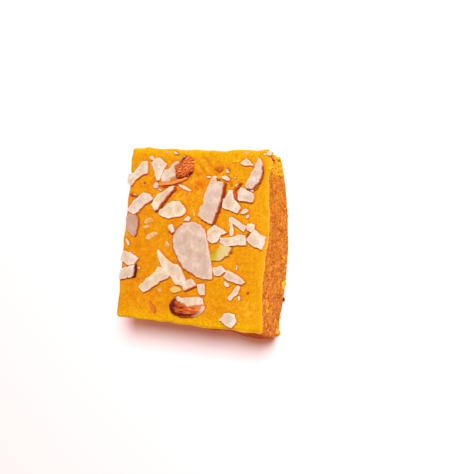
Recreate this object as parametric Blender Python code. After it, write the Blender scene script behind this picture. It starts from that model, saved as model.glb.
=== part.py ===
"""A square of orange barfi with cut almonds and a pistachio pressed into its upper face.

It lies with that face up. The origin is the middle of the flat underside, X runs across the piece,
Y along its longer side and Z up. Blender's unit is the metre. The sizes here are in millimetres,
and MM turns them into metres where a mesh or a curve is made.
"""
import math
from typing import NamedTuple

import bmesh
import bpy
from mathutils import Vector, noise

MM = 0.001
WELD = 1e-6

# The square of paste
WIDTH = 50.0
LENGTH = 55.4
THICKNESS = 16.0
EDGE_ROUND = 0.9
CELL = 3.1
RIM_STEP = 0.45

# The four sides, where the knife went: an edge's place, and how it leans along its length
LEFT_EDGE = -25.2
LEFT_LEAN = 0.034
RIGHT_EDGE = 24.9
RIGHT_LEAN = -0.02
FAR_EDGE = 27.9
FAR_DIP = 0.55
FAR_DIP_X = 5.0
NEAR_EDGE = -27.6
NEAR_BOW = 0.35
NEAR_BOW_X = 10.0
EDGE_BOW_REACH = 12.5

# How far the +X and -Y sides stand out below the nut face, the foot where they meet at the
# bottom, and how the +X edge sways along the face
FLARE = 1.6
FLARE_LOSS = 3.9
FLARE_MIDDLE_Y = -3.0
FLARE_REACH = 30.0
BULGE = 1.1
BULGE_FROM_X = (-6.0, 8.0)
CORNER_BULGE = 1.3
CORNER_BULGE_X = 21.5
CORNER_BULGE_REACH = 4.5
BULGE_HANG = 0.8
FOOT = (1.4, 2.0)
FOOT_AT = (25.0, -30.0)
FOOT_REACH = 4.5
SWAY = 0.6
SWAY_OUT = (5.0, 6.0)
SWAY_IN = (-14.0, 8.0)

# The dent in the nut face and the folds beyond it
DENT = 0.75
DENT_MIDDLE = (0.5, 15.5)
DENT_REACH = (4.2, 3.2)
FOLD = 0.3
FOLD_MIDDLE = (3.0, 22.5)
FOLD_REACH = (3.5, 3.0)
FOLD_PITCH = 1.6

# How uneven the paste is
TOP_WAVE = 0.28
TOP_WAVE_SIZE = 9.0
TOP_RELIEF_SHARE = 0.35
SIDE_CRAG = 0.5
SIDE_CRAG_SIZE = 5.0
SIDE_CRAG_START = 3.0
UNDERSIDE_CALM = 2.0

# The crumbly upright corner at +X and +Y, which lost paste below the nut face
BROKEN_CORNER = Vector((25.5, 28.0, 0.0))
BROKEN_CORE = 2.0
BROKEN_REACH = 9.0
BROKEN_DEPTH = 1.9
BROKEN_GRAIN = 2.3
BROKEN_EVEN = 0.6
BROKEN_INWARD = Vector((-0.94, -0.33, 0.0))
BROKEN_BELOW = (THICKNESS - 0.5, THICKNESS - 2.5)

# How the toppings sit in the paste
SINK = 0.9
CUT_ROOM = 0.35
CUT_ABOVE = 6.0
EDGE_BEVEL = 0.22
BEVEL_SHARE = 0.15
SMALL_CHIP = 3.5

# The cut face of the half kernel, which leans back towards +Y
KERNEL_CUT_LEAN = math.radians(50)


class Topping(NamedTuple):
    """One cut nut: its middle, its length and width, and how its outline is drawn.

    ends are the width's shares at the near and far end, slant moves the two ends' corners along it,
    bend bows it, and square runs from 2, an ellipse, to 8, a block. rise is its height above the
    paste, lean tilts it about its length, and cut is where a kernel's cut face passes its middle.
    """
    at: tuple
    size: tuple
    turn: float = 0.0
    ends: tuple = (1.0, 1.0)
    slant: tuple = (0.0, 0.0)
    bend: float = 0.0
    square: float = 5.0
    rise: float = 1.0
    lean: float = 0.0
    kind: str = "almond"
    beside: tuple = ()
    cut: float = 0.0


# The large pieces, each a separate solid
PIECES = {
    "almond_slice": Topping(
        (1.3, -4.7), (18.8, 12.6), -64, (1.0, 0.8), (0, 2.4), 0.2, 2.7, 1.3),
    "almond_blade_upper": Topping(
        (6.7, 11.7), (13.9, 5.9), 76, (1.02, 0.95), (0.5, 0.2), 0, 8, 1.7, -3),
    "almond_kernel_upper": Topping(
        (-6.2, 20.9), (12.6, 6.6), 28, (0.65, 1.15), (0, 0), 0, 2.8, 1.9, kind="kernel"),
    "almond_blade_edge": Topping(
        (-21.1, 19.5), (10.4, 3.5), 42, (0.95, 1.0), (0, 0), 0, 5, 1.2, 4),
    "almond_blade_left": Topping(
        (-19.2, 9.7), (10.8, 3.5), 34, (0.95, 1.05), (0, 0), 0, 5, 1.3, -3),
    "almond_blade_middle": Topping(
        (-11.1, 11.7), (9.8, 3.6), 49, (1.1, 0.6), (0.5, -0.5), 0, 5, 1.6, 5),
    "almond_half_round": Topping(
        (-7.4, 7.9), (9.8, 5.3), 6, (0.9, 0.9), (0, -0.8), 0.25, 2.8, 0.9,
        beside=("almond_blade_middle",)),
    "almond_crescent": Topping(
        (20.4, 20.2), (10.2, 4.3), 66, (1.05, 0.55), (0, 0), -0.7, 3, 1.1),
    "almond_limb_long": Topping(
        (-6.5, -10.6), (13.8, 4.4), -47, (0.55, 1.1), (0, -0.8), 0.4, 5, 1.0,
        beside=("almond_slice",)),
    "almond_limb_short": Topping(
        (-12.4, -14.7), (11.9, 3.9), 35, (1.0, 1.0), (0, 0), 0, 8, 1.2, 3,
        beside=("almond_limb_long",)),
    "almond_half_kernel": Topping(
        (-0.2, -22.2), (12.2, 5.8), 2, (0.95, 0.85), (0, 0), -0.3, 2.6, 2.4, kind="kernel",
        cut=1.1),
}

# The small pieces, which are one body with the paste
CHIPS = (
    Topping((-13.8, 21.1), (7.2, 4.6), 92, (0.45, 1.15), (0, 0), 0, 4, 1.0),
    Topping((-9.2, 17.0), (10.4, 1.2), 14, (0.9, 0.5), (0, 0), -0.3, 4, 0.9, kind="skin"),
    Topping((-22.3, 2.4), (7.2, 4.6), -90, (1.05, 0.8), (0, 0), 0, 4, 0.4),
    Topping((-16.5, 24.7), (1.7, 1.3), -20, square=3, rise=0.8),
    Topping((-14.3, 15.7), (2.0, 2.0), 80, square=4, rise=0.6),
    Topping((-22.4, 12.3), (2.8, 0.9), -12, (0.7, 1.0), rise=0.6, kind="skin"),
    Topping((-4.2, 15.4), (5.6, 1.1), -21, (0.9, 0.4), square=3, rise=0.5),
    Topping((-7.8, 2.2), (3.0, 2.0), 125, (1.1, 0.6), (0.3, 0), square=5, rise=1.0),
    Topping((-2.3, 5.5), (3.1, 1.5), 38, (0.5, 1.1), square=4, rise=0.8),
    Topping((9.9, 18.7), (2.9, 1.2), -22, square=4, rise=0.9),
    Topping((7.4, 21.4), (2.7, 1.3), -6, (1.1, 0.7), square=4, rise=0.5, kind="skin"),
    Topping((10.6, 21.0), (2.6, 1.3), -58, square=3, rise=0.5),
    Topping((16.8, 23.8), (4.0, 1.8), -14, (0.7, 0.8), square=3, rise=0.7),
    Topping((17.4, 13.8), (5.4, 4.2), -12, (1.0, 0.9), (0.2, -0.3), square=4.5, rise=1.5),
    Topping((12.7, 11.6), (6.8, 4.8), 99, (1.32, 0.35), (0.8, 0), square=5, rise=1.2),
    Topping((17.5, 8.8), (2.8, 1.4), 24, square=3, rise=0.7),
    Topping((18.5, 7.1), (1.4, 0.9), 50, square=3, rise=0.6),
    Topping((15.5, 4.4), (6.2, 1.9), -28, (0.9, 1.0), square=5, rise=1.0),
    Topping((13.2, 3.3), (5.0, 1.4), -84, (1.1, 0.9), square=5, rise=0.9),
    Topping((19.8, 3.7), (2.9, 2.5), 50, (0.8, 1.1), square=3.5, rise=1.1),
    Topping((14.5, -0.3), (8.3, 3.0), 3, (0.75, 1.2), square=6, rise=1.2),
    Topping((22.0, 0.3), (5.8, 4.7), -14, (0.75, 1.0), square=4.5, rise=1.2),
    Topping((8.6, 1.2), (6.8, 4.8), 6, (1.1, 0.45), (0.4, 0), square=3.5, rise=1.1),
    Topping((24.2, 26.5), (2.3, 1.7), 12, square=4, rise=0.8),
    Topping((-23.5, -3.1), (3.1, 0.8), -58, square=3, rise=0.5),
    Topping((-22.1, -8.3), (6.6, 3.9), 2, (1.15, 0.4), square=4, rise=1.2),
    Topping((-22.5, -12.9), (5.8, 4.0), 12, (0.85, 1.0), (0, -0.5), square=6, rise=1.3),
    Topping((0.4, -15.2), (4.0, 2.9), 12, (0.9, 0.8), square=3.5, rise=1.4),
    Topping((-4.5, -17.1), (4.7, 1.9), 12, (0.9, 0.8), square=3, rise=0.9),
    Topping((-12.6, -23.4), (4.0, 1.0), -60, square=4, rise=0.5, kind="skin"),
    Topping((10.0, -4.5), (7.6, 3.9), 27, (0.7, 1.1), square=4, rise=1.0, kind="pistachio"),
    Topping((10.2, -10.2), (4.2, 3.0), 3, square=3.2, rise=1.0),
    Topping((15.5, -11.9), (7.1, 2.9), -20, (1.05, 0.7), square=6, rise=1.2),
    Topping((12.9, -13.9), (2.9, 1.3), -30, square=4, rise=0.8),
    Topping((15.5, -16.5), (5.6, 1.6), 57, (1.0, 0.8), square=4, rise=0.7),
    Topping((17.4, -17.9), (1.6, 0.9), -80, square=3, rise=0.5),
    Topping((4.5, -16.4), (3.8, 2.2), -84, (0.9, 1.0), square=5, rise=0.9),
    Topping((14.6, -24.9), (4.3, 4.1), 40, (0.9, 1.0), square=3.5, rise=1.1),
)

COLOURS = {
    "paste": (0.89, 0.36, 0.012),
    "almond": (0.80, 0.60, 0.40),
    "skin": (0.42, 0.12, 0.035),
    "pistachio": (0.70, 0.56, 0.12),
}


def hump(value, middle, reach):
    """A smooth hump, 1 at its middle, that fades out over its reach."""
    return math.exp(-((value - middle) / reach) ** 2)


def ease(value, low, high):
    """Goes smoothly from 0 at low to 1 at high, whichever of the two is larger."""
    share = min(1.0, max(0.0, (value - low) / (high - low)))
    return share * share * (3 - 2 * share)


def left_side(y):
    """X of the nut face's left edge, which leans a little outwards towards -Y."""
    return LEFT_EDGE + LEFT_LEAN * y


def right_side(y, depth):
    """X of the +X side: its edge on the nut face, flared below it, but cut in near +Y."""
    flare = FLARE - FLARE_LOSS * ((y - FLARE_MIDDLE_Y) / FLARE_REACH) ** 2
    flare += FOOT[0] * hump(y, FOOT_AT[1], FOOT_REACH)
    sway = SWAY * (hump(y, *SWAY_OUT) - hump(y, *SWAY_IN))
    return RIGHT_EDGE + RIGHT_LEAN * y + sway * (1 - depth) + flare * depth


def far_side(x):
    """Y of the +Y side, with a slight dip in the middle of its edge."""
    return FAR_EDGE - FAR_DIP * hump(x, FAR_DIP_X, EDGE_BOW_REACH)


def near_side(x, depth):
    """Y of the -Y side, which bulges below the nut face towards its +X end."""
    edge = NEAR_EDGE - NEAR_BOW * hump(x, NEAR_BOW_X, EDGE_BOW_REACH)
    bulge = BULGE * ease(x, *BULGE_FROM_X) + CORNER_BULGE * hump(x, CORNER_BULGE_X, CORNER_BULGE_REACH)
    foot = FOOT[1] * hump(x, FOOT_AT[0], FOOT_REACH) * depth ** 2
    return edge - bulge * math.sin(math.pi * depth ** BULGE_HANG) - foot


def top_relief(x, y):
    """How far the nut face lies above or below its level: waves, a dent and crumpled folds."""
    wave = TOP_WAVE * noise.noise(Vector((x / TOP_WAVE_SIZE, y / TOP_WAVE_SIZE, 0.0)))
    dent = DENT * hump(x, DENT_MIDDLE[0], DENT_REACH[0]) * hump(y, DENT_MIDDLE[1], DENT_REACH[1])
    fold = FOLD * hump(x, FOLD_MIDDLE[0], FOLD_REACH[0]) * hump(y, FOLD_MIDDLE[1], FOLD_REACH[1])
    return wave - dent + fold * math.sin(FOLD_PITCH * (x + y))


def corner_loss(point):
    """How much paste has crumbled away from the upright corner at +X and +Y."""
    distance = (Vector((point.x, point.y, 0.0)) - BROKEN_CORNER).length
    near = ease(distance, BROKEN_REACH, BROKEN_CORE)
    grain = BROKEN_EVEN + noise.noise(point / BROKEN_GRAIN)
    return BROKEN_DEPTH * near * ease(point.z, *BROKEN_BELOW) * grain


def place_paste(point):
    """Moves a point of the plain rounded block to where it lies on the cut square."""
    half = Vector((WIDTH, LENGTH, THICKNESS)) / 2
    inner = half - Vector((EDGE_ROUND,) * 3)
    centred = Vector((point.x, point.y, point.z - half.z))
    core = Vector([min(inner[i], max(-inner[i], centred[i])) for i in range(3)])
    outward = centred - core
    if outward.length > EDGE_ROUND:
        outward = outward.normalized() * EDGE_ROUND
    rounded = core + outward

    across = (rounded.x + half.x) / WIDTH
    along = (rounded.y + half.y) / LENGTH
    depth = min(1.0, max(0.0, (half.z - rounded.z) / THICKNESS))
    low_x, high_x = left_side(rounded.y), right_side(rounded.y, depth)
    low_y, high_y = near_side(rounded.x, depth), far_side(rounded.x)
    placed = Vector((low_x + (high_x - low_x) * across,
                     low_y + (high_y - low_y) * along,
                     rounded.z + half.z))

    calm = ease(placed.z, 0.0, UNDERSIDE_CALM)
    flank = max(ease(abs(rounded.x), half.x - SIDE_CRAG_START, half.x),
                ease(abs(rounded.y), half.y - SIDE_CRAG_START, half.y))
    rough = noise.noise_vector(placed / SIDE_CRAG_SIZE) * SIDE_CRAG * flank
    placed += (rough + BROKEN_INWARD * corner_loss(placed)) * calm
    placed.z += top_relief(placed.x, placed.y) * ease(depth, TOP_RELIEF_SHARE, 0.0)
    return placed


def stations(length):
    """Even steps along a side, with closer ones at its two rounded edges."""
    steps = round((length - 2 * EDGE_ROUND) / CELL)
    inner = [EDGE_ROUND + (length - 2 * EDGE_ROUND) * i / steps for i in range(steps + 1)]
    rim = [0.0, EDGE_ROUND * RIM_STEP]
    return rim + inner + [length - value for value in reversed(rim)]


def subdivided_block():
    """A block cut into cells at the stations of its three sides, in millimetres."""
    mesh = bmesh.new()
    bmesh.ops.create_cube(mesh, size=1.0)
    sides = (stations(WIDTH), stations(LENGTH), stations(THICKNESS))
    for axis, values in enumerate(sides):
        along = [edge for edge in mesh.edges
                 if abs(edge.verts[0].co[axis] - edge.verts[1].co[axis]) > 0.5]
        bmesh.ops.subdivide_edges(mesh, edges=along, cuts=len(values) - 2, use_grid_fill=True)
    offsets = (WIDTH / 2, LENGTH / 2, 0.0)
    for vert in mesh.verts:
        spot = []
        for axis, values in enumerate(sides):
            step = round((vert.co[axis] + 0.5) * (len(values) - 1))
            spot.append(values[step] - offsets[axis])
        vert.co = spot
    return mesh


def simplify_underside(mesh):
    """Makes the flat underside one face."""
    low = [face for face in mesh.faces if all(vert.co.z < WELD for vert in face.verts)]
    bmesh.ops.dissolve_faces(mesh, faces=low, use_verts=True)


def make_material(name, roughness):
    material = bpy.data.materials.new(name)
    material.use_nodes = True
    shader = material.node_tree.nodes["Principled BSDF"]
    shader.inputs["Base Color"].default_value = (*COLOURS[name], 1.0)
    shader.inputs["Roughness"].default_value = roughness
    shader.inputs["Metallic"].default_value = 0.0
    return material


def new_object(name, mesh, collection, material):
    thing = bpy.data.objects.new(name, mesh)
    collection.objects.link(thing)
    if material:
        mesh.materials.append(material)
    return thing


def mesh_from(source, name):
    """The object's evaluated mesh, on its own."""
    graph = bpy.context.evaluated_depsgraph_get()
    mesh = bpy.data.meshes.new_from_object(source.evaluated_get(graph))
    mesh.name = name
    return mesh


def outline(topping, count, room):
    """The points of a topping's outline about its middle, widened by room on each side."""
    half_length = topping.size[0] / 2 + room
    half_width = topping.size[1] / 2 + room
    points = []
    for i in range(count):
        angle = 2 * math.pi * (i + 0.5) / count
        u = math.copysign(abs(math.cos(angle)) ** (2 / topping.square), math.cos(angle))
        v = math.copysign(abs(math.sin(angle)) ** (2 / topping.square), math.sin(angle))
        far = (u + 1) / 2
        share = topping.ends[0] * (1 - far) + topping.ends[1] * far
        slant = topping.slant[0] * (1 - far) + topping.slant[1] * far
        points.append((u * half_length + slant * v, v * share * half_width + topping.bend * (1 - u * u)))
    return points


def flat_slice(name, topping, count, collection, material, room=0.0):
    """A slice of the topping's outline with bevelled edges, from below the paste to its rise.

    With room it is the cutter of the slice's bed, which reaches well above the slice.
    """
    low = -SINK - room
    high = CUT_ABOVE if room else topping.rise
    curve = bpy.data.curves.new(name, "CURVE")
    curve.dimensions = "2D"
    curve.fill_mode = "BOTH"
    narrowest = topping.size[1] * min(topping.ends)
    bevel = 0.0 if room else min(EDGE_BEVEL, BEVEL_SHARE * narrowest)
    curve.bevel_depth = bevel * MM
    curve.bevel_resolution = 0
    curve.offset = -bevel * MM
    curve.extrude = ((high - low) / 2 - bevel) * MM
    spline = curve.splines.new("POLY")
    points = outline(topping, count, room)
    spline.points.add(len(points) - 1)
    for point, (x, y) in zip(spline.points, points):
        point.co = (x * MM, y * MM, 0.0, 1.0)
    spline.use_cyclic_u = True
    drawn = bpy.data.objects.new(name + "_outline", curve)
    collection.objects.link(drawn)
    bpy.context.view_layer.update()
    mesh = mesh_from(drawn, name)
    bpy.data.objects.remove(drawn)

    shape = bmesh.new()
    shape.from_mesh(mesh)
    bmesh.ops.remove_doubles(shape, verts=shape.verts, dist=WELD)
    bmesh.ops.recalc_face_normals(shape, faces=shape.faces)
    shape.to_mesh(mesh)
    shape.free()
    mesh.materials.clear()
    slice_object = new_object(name, mesh, collection, material)
    slice_object.location = (topping.at[0] * MM, topping.at[1] * MM,
                             (THICKNESS + (low + high) / 2) * MM)
    slice_object.rotation_euler = (math.radians(topping.lean), 0.0, math.radians(topping.turn))
    return slice_object


def close_cut(shape):
    """Fills the opening that a cut left."""
    rim = [edge for edge in shape.edges if edge.is_boundary]
    bmesh.ops.holes_fill(shape, edges=rim)


def kernel(name, topping, collection, material):
    """Half a whole almond with its domed side up: an ellipsoid cut level below the paste."""
    shape = bmesh.new()
    bmesh.ops.create_uvsphere(shape, u_segments=18, v_segments=8, radius=1.0)
    half_length, half_width = topping.size[0] / 2, topping.size[1] / 2
    for vert in shape.verts:
        x, y, z = vert.co
        far = (x + 1) / 2
        share = topping.ends[0] * (1 - far) + topping.ends[1] * far
        vert.co = Vector((x * half_length, y * share * half_width + topping.bend * (1 - x * x),
                          z * topping.rise)) * MM
    bmesh.ops.bisect_plane(shape, geom=shape.verts[:] + shape.edges[:] + shape.faces[:],
                           plane_co=(0, 0, -SINK * MM), plane_no=(0, 0, -1), clear_outer=True)
    close_cut(shape)
    if topping.cut:
        lean = Vector((0.0, math.cos(KERNEL_CUT_LEAN), math.sin(KERNEL_CUT_LEAN)))
        bmesh.ops.bisect_plane(shape, geom=shape.verts[:] + shape.edges[:] + shape.faces[:],
                               plane_co=lean * topping.cut * MM, plane_no=lean, clear_outer=True)
        close_cut(shape)
    bmesh.ops.recalc_face_normals(shape, faces=shape.faces)
    mesh = bpy.data.meshes.new(name)
    shape.to_mesh(mesh)
    shape.free()
    dome = new_object(name, mesh, collection, material)
    dome.location = (topping.at[0] * MM, topping.at[1] * MM, THICKNESS * MM)
    dome.rotation_euler = (0.0, 0.0, math.radians(topping.turn))
    return dome


def boolean(target, operation, operand):
    """Adds an exact Boolean with an object or with a collection."""
    modifier = target.modifiers.new(operation.title(), "BOOLEAN")
    modifier.operation = operation
    modifier.solver = "EXACT"
    if isinstance(operand, bpy.types.Collection):
        modifier.operand_type = "COLLECTION"
        modifier.collection = operand
    else:
        modifier.object = operand


def apply_modifiers(target):
    """Gives the object the mesh that its modifiers make, welded and without loose scraps."""
    bpy.context.view_layer.update()
    mesh = mesh_from(target, target.name)
    shape = bmesh.new()
    shape.from_mesh(mesh)
    bmesh.ops.remove_doubles(shape, verts=shape.verts, dist=WELD)
    bmesh.ops.dissolve_degenerate(shape, edges=shape.edges, dist=WELD)
    keep_largest_body(shape)
    bmesh.ops.triangulate(shape, faces=shape.faces)
    shape.to_mesh(mesh)
    shape.free()
    target.modifiers.clear()
    target.data = mesh


def keep_largest_body(shape):
    """Removes every part of the mesh that isn't joined to its largest part."""
    left = set(shape.verts)
    bodies = []
    while left:
        start = left.pop()
        body = {start}
        edge_of_body = [start]
        while edge_of_body:
            vert = edge_of_body.pop()
            for edge in vert.link_edges:
                other = edge.other_vert(vert)
                if other in left:
                    left.remove(other)
                    body.add(other)
                    edge_of_body.append(other)
        bodies.append(body)
    bodies.sort(key=len)
    scraps = [vert for body in bodies[:-1] for vert in body]
    bmesh.ops.delete(shape, geom=scraps, context="VERTS")


def clear_scene():
    for thing in list(bpy.data.objects):
        bpy.data.objects.remove(thing)


def new_collection(name):
    collection = bpy.data.collections.new(name)
    bpy.context.scene.collection.children.link(collection)
    return collection


def main():
    clear_scene()
    food = new_collection("barfi_piece")
    fused = new_collection("fused_toppings")
    beds = new_collection("topping_beds")
    materials = {
        "paste": make_material("paste", 0.45),
        "almond": make_material("almond", 0.55),
        "skin": make_material("skin", 0.6),
        "pistachio": make_material("pistachio", 0.5),
    }

    block = subdivided_block()
    for vert in block.verts:
        vert.co = place_paste(vert.co.copy()) * MM
    simplify_underside(block)
    bmesh.ops.recalc_face_normals(block, faces=block.faces)
    paste_mesh = bpy.data.meshes.new("barfi")
    block.to_mesh(paste_mesh)
    block.free()
    barfi = new_object("barfi", paste_mesh, food, materials["paste"])

    for i, chip in enumerate(CHIPS):
        corners = 8 if max(chip.size) < SMALL_CHIP else 10
        flat_slice(f"chip_{i}", chip, corners, fused, materials[chip.kind])
    boolean(barfi, "UNION", fused)
    apply_modifiers(barfi)
    for chip in list(fused.objects):
        bpy.data.objects.remove(chip)
    bpy.data.collections.remove(fused)

    cutters = {}
    for name, topping in PIECES.items():
        cutter = flat_slice(name + "_bed", topping, 16, beds, None, room=CUT_ROOM)
        cutter.hide_render = True
        cutter.display_type = "WIRE"
        cutters[name] = cutter
    boolean(barfi, "DIFFERENCE", beds)
    apply_modifiers(barfi)

    for name, topping in PIECES.items():
        if topping.kind == "kernel":
            piece = kernel(name, topping, food, materials["skin"])
        else:
            piece = flat_slice(name, topping, 20, food, materials["almond"])
        for neighbour in topping.beside:
            boolean(piece, "DIFFERENCE", cutters[neighbour])
        if topping.beside:
            apply_modifiers(piece)
        piece.data.shade_flat()


main()
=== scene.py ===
"""The barfi's looks: fine orange paste, cut almonds with their skins, a pistachio and crumbs.

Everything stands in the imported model's frame. The tables are in millimetres, and MM turns them into
metres where a mesh is made.
"""
import math
import random
from typing import NamedTuple

import bmesh
import bpy
import numpy as np
from mathutils import Matrix, Quaternion, Vector, noise
from mathutils.geometry import delaunay_2d_cdt


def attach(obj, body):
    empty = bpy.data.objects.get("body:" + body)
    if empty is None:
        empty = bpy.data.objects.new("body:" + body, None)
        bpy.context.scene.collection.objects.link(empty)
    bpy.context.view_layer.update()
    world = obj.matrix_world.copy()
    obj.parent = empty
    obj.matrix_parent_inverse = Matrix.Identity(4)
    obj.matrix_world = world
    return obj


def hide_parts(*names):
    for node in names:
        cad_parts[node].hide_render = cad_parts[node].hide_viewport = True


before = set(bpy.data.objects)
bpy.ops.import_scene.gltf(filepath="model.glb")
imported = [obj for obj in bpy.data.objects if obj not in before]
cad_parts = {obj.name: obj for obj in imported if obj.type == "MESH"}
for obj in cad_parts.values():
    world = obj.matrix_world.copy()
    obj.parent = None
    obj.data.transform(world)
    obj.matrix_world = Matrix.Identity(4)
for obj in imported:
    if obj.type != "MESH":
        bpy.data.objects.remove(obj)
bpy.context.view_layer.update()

MM = 0.001
BODY = "root"

# The square of paste, as in the model
WIDTH = 50.0
LENGTH = 55.4
THICKNESS = 16.0
EDGE_ROUND = 0.9
CELL = 0.32

LEFT_EDGE = -25.2
LEFT_LEAN = 0.034
RIGHT_EDGE = 24.9
RIGHT_LEAN = -0.02
FAR_EDGE = 27.9
FAR_DIP = 0.55
FAR_DIP_X = 5.0
NEAR_EDGE = -27.6
NEAR_BOW = 0.35
NEAR_BOW_X = 10.0
EDGE_BOW_REACH = 12.5

FLARE = 1.6
FLARE_LOSS = 3.9
FLARE_MIDDLE_Y = -3.0
FLARE_REACH = 30.0
BULGE = 1.1
BULGE_FROM_X = (-6.0, 8.0)
CORNER_BULGE = 1.3
CORNER_BULGE_X = 21.5
CORNER_BULGE_REACH = 4.5
BULGE_HANG = 0.8
FOOT = (1.4, 2.0)
FOOT_AT = (25.0, -30.0)
FOOT_REACH = 4.5
SWAY = 0.6
SWAY_OUT = (5.0, 6.0)
SWAY_IN = (-14.0, 8.0)

DENT = 0.75
DENT_MIDDLE = (0.5, 15.5)
DENT_REACH = (4.2, 3.2)
FOLD = 0.3
FOLD_MIDDLE = (3.0, 22.5)
FOLD_REACH = (3.5, 3.0)
FOLD_PITCH = 1.6

CRUMPLE = 0.3
CRUMPLE_PATCHES = (((1.5, 17.5), (6.0, 6.5)), ((-6.0, 13.0), (4.0, 3.0)), ((20.5, -21.0), (3.0, 4.0)))
# Where the face carries painted shade in its hollow
HOLLOW = (1.2, 16.7)
HOLLOW_REACH = (2.3, 1.5)
# Painted light over a fold that the lamps leave shaded
FOLD_HIGHLIGHT = (0.4, 22.4)
FOLD_HIGHLIGHT_REACH = 2.4
CRUMPLE_LEAST = 0.02
BEND_SIZE = 3.0
BEND_REACH = 1.5
FOLD_TURN = (0.4, 0.9)
FOLD_SQUEEZE = 1.6
FOLD_LEVEL = 0.45
CRUMBLY_FROM_Y = (20.6, 21.6)
CRUMBLY_FROM_X = (22.6, 24.0)
CRUMBLY_WANDER = 1.2

TOP_WAVE = 0.28
TOP_WAVE_SIZE = 9.0
TOP_RELIEF_SHARE = 0.35
SIDE_CRAG = 0.5
SIDE_CRAG_SIZE = 5.0
SIDE_CRAG_START = 3.0
UNDERSIDE_CALM = 2.0

BROKEN_CORNER = Vector((25.5, 28.0, 0.0))
BROKEN_CORE = 2.0
BROKEN_REACH = 9.0
BROKEN_DEPTH = 1.9
BROKEN_GRAIN = 2.3
BROKEN_EVEN = 0.6
BROKEN_INWARD = Vector((-0.94, -0.33, 0.0))
BROKEN_BELOW = (THICKNESS - 0.5, THICKNESS - 2.5)

# The paste's own fine surface: grains on the cut sides, a calmer face, and beds round the nuts
GRAIN_SIZE = 1.05
GRAIN_DEPTH = 0.2
CLUMP_SIZE = 1.8
CLUMP_DEPTH = 0.4
CALM_EDGE = (0.5, 3.5)
SPECK_SIZE = 0.5
SPECK_DEPTH = 0.09
FACE_RIPPLE = 0.11
FACE_RIPPLE_SIZE = 1.9
PIT_COUNT = 70
PIT_RADIUS = (0.25, 0.8)
PIT_DEPTH = 0.14
PIT_SHARE = (0.3, 1.0)
PIT_AREA = (24, 27)
BED_DEPTH = 0.06
BRIM_HEIGHT = 0.06
BRIM_FROM_NUT = 0.9
BRIM_REACH = 0.4
BED_REACH = 0.4
# How far the painted shade round the nuts reaches
CONTACT_SHADE_REACH = 0.45
MARGIN = (6.0, 0.8)
CRUMBLY_SIZE = 2.0
CRUMBLY_DEPTH = 0.6
FRAY_SIZE = 1.4
BASE_CALM = 1.2
CALM_GRAIN = 0.3
CALM_CLUMP = 0.25
SHADED_FROM_TOP = (0.5, 1.4)
# A painted highlight along the rounded +X top edge
EDGE_HIGHLIGHT_IN = -0.8
EDGE_HIGHLIGHT_REACH = 1.5
FACE_DEPTH = 2
LEVEL = 1e-7
SEED = 11
FILM_SEED = 200
LUMP_SEED = 300
SPECK_SEED = 400

# How the nuts sit
SINK = 0.9
EDGE_BEVEL = 0.13
BEVEL_SHARE = 0.25
DOME_BEVEL = 0.06
LOWEST_RISE = 0.1
WALL_STEPS = (0.0, 0.35, 0.65, 1.0)
# The nut walls' orange foot: partly paste clinging to it, partly painted bounce light off the paste
PASTE_AND_BOUNCE_ON_WALL = 0.6
SHARP_ANGLE = math.radians(36)
EDGE_WANDER = 0.3
EDGE_NICK = 0.22
OUTLINE_STEP = 0.25
TOP_STEP = 0.4
SKIN_SHADE = 0.27
SKIN_FACING = 0.35
SKIN_SMOOTHING = 4
DOME_WALL = 0.15
DOME_SEEN = 0.4
KERNEL_REACH = {"ridged": 2.6, "halved": 2.4}
RIDGED_MIDDLE = Vector((-4.8, 21.8))
RIDGED_AXIS = Vector((math.cos(math.radians(33)), math.sin(math.radians(33))))
RIDGE_PITCH = 0.82
RIDGE_HEIGHT = 0.13
HALVED_MIDDLE = Vector((0.9, -21.9))
HALVED_FALL = (0.42, 0.24)
HALVED_END = 4.6
WHOLLY_SKIN = (0, 99.0, 0.0)
UNEVEN_TOP = ((0.09, 1.3), (0.06, 0.6))
SLICE_STEP = 1.15
UNEVEN_FROM_EDGE = 0.5
# Paler nut edges: partly worn, partly a painted highlight
RIM_PALENESS = 0.7
RIM_REACH = 0.35
LOOK_NAMES = ("skin", "rim", "tone", "shade", "foot")
OVAL_CORNERS = 7
OVAL_START = 20
OVAL_REACH = 1.12
OVAL_UNEVEN = 0.14
BED_SEARCH = 4.0

# Crumbs on the +X side: place along Y, how far down the side, and size
LARGE_CRUMBS = (
    (-19.6, 0.22, (1.6, 2.8, 3.2)),
    (-21.2, 0.26, (1.3, 1.6, 1.8)),
    (-25.5, 0.20, (1.0, 1.7, 1.5)),
    (-13.0, 0.90, (2.4, 2.2, 2.2)),
    (-14.2, 0.88, (2.2, 1.8, 2.0)),
    (-28.4, 0.90, (2.0, 2.0, 2.2)),
    (-24.4, 0.75, (0.9, 1.1, 1.1)),
)
CORNER_CRUMBS = 170
CORNER_CRUMB_Y = (21.2, 27.0)
CORNER_CRUMB_SIZE = (0.6, 1.5)
CORNER_CRUMB_DEPTH = (0.02, 0.9)
CORNER_CRUMB_OUT = 0.35
CORNER_CRUMB_HANG = (0.1, 0.6)
SIDE_CRUMBS = 46
SIDE_CRUMB_SIZE = (0.35, 1.1)
SIDE_CRUMB_Y = (-26, 18)
SIDE_CRUMB_SPREAD = 0.3
CRUMB_SINK = 0.3
CRUMB_STAND = 0.62
CRUMB_LUMP = (0.5, 1.3)
CRUMB_GRAIN = (0.35, 2.6)
# A dark speck at the foot of the +X side, then three dark lumps in the crack at the broken corner:
# painted shadow standing in for the crack's shade
DARK_SPECK_AND_CRACK_SHADE = (
    ((26.3, -17.9, 0.7), (0.5, 1.2, 1.0)),
    ((24.0, 25.42, 15.3), (0.9, 0.5, 0.6)),
    ((23.95, 25.3, 13.6), (0.6, 0.5, 1.5)),
    ((23.85, 25.05, 11.75), (0.5, 0.5, 1.0)),
)

# Where the pistachio turns from green to cream, in metres across it
PISTACHIO_TURN = (0.0106, 0.0130)

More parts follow.
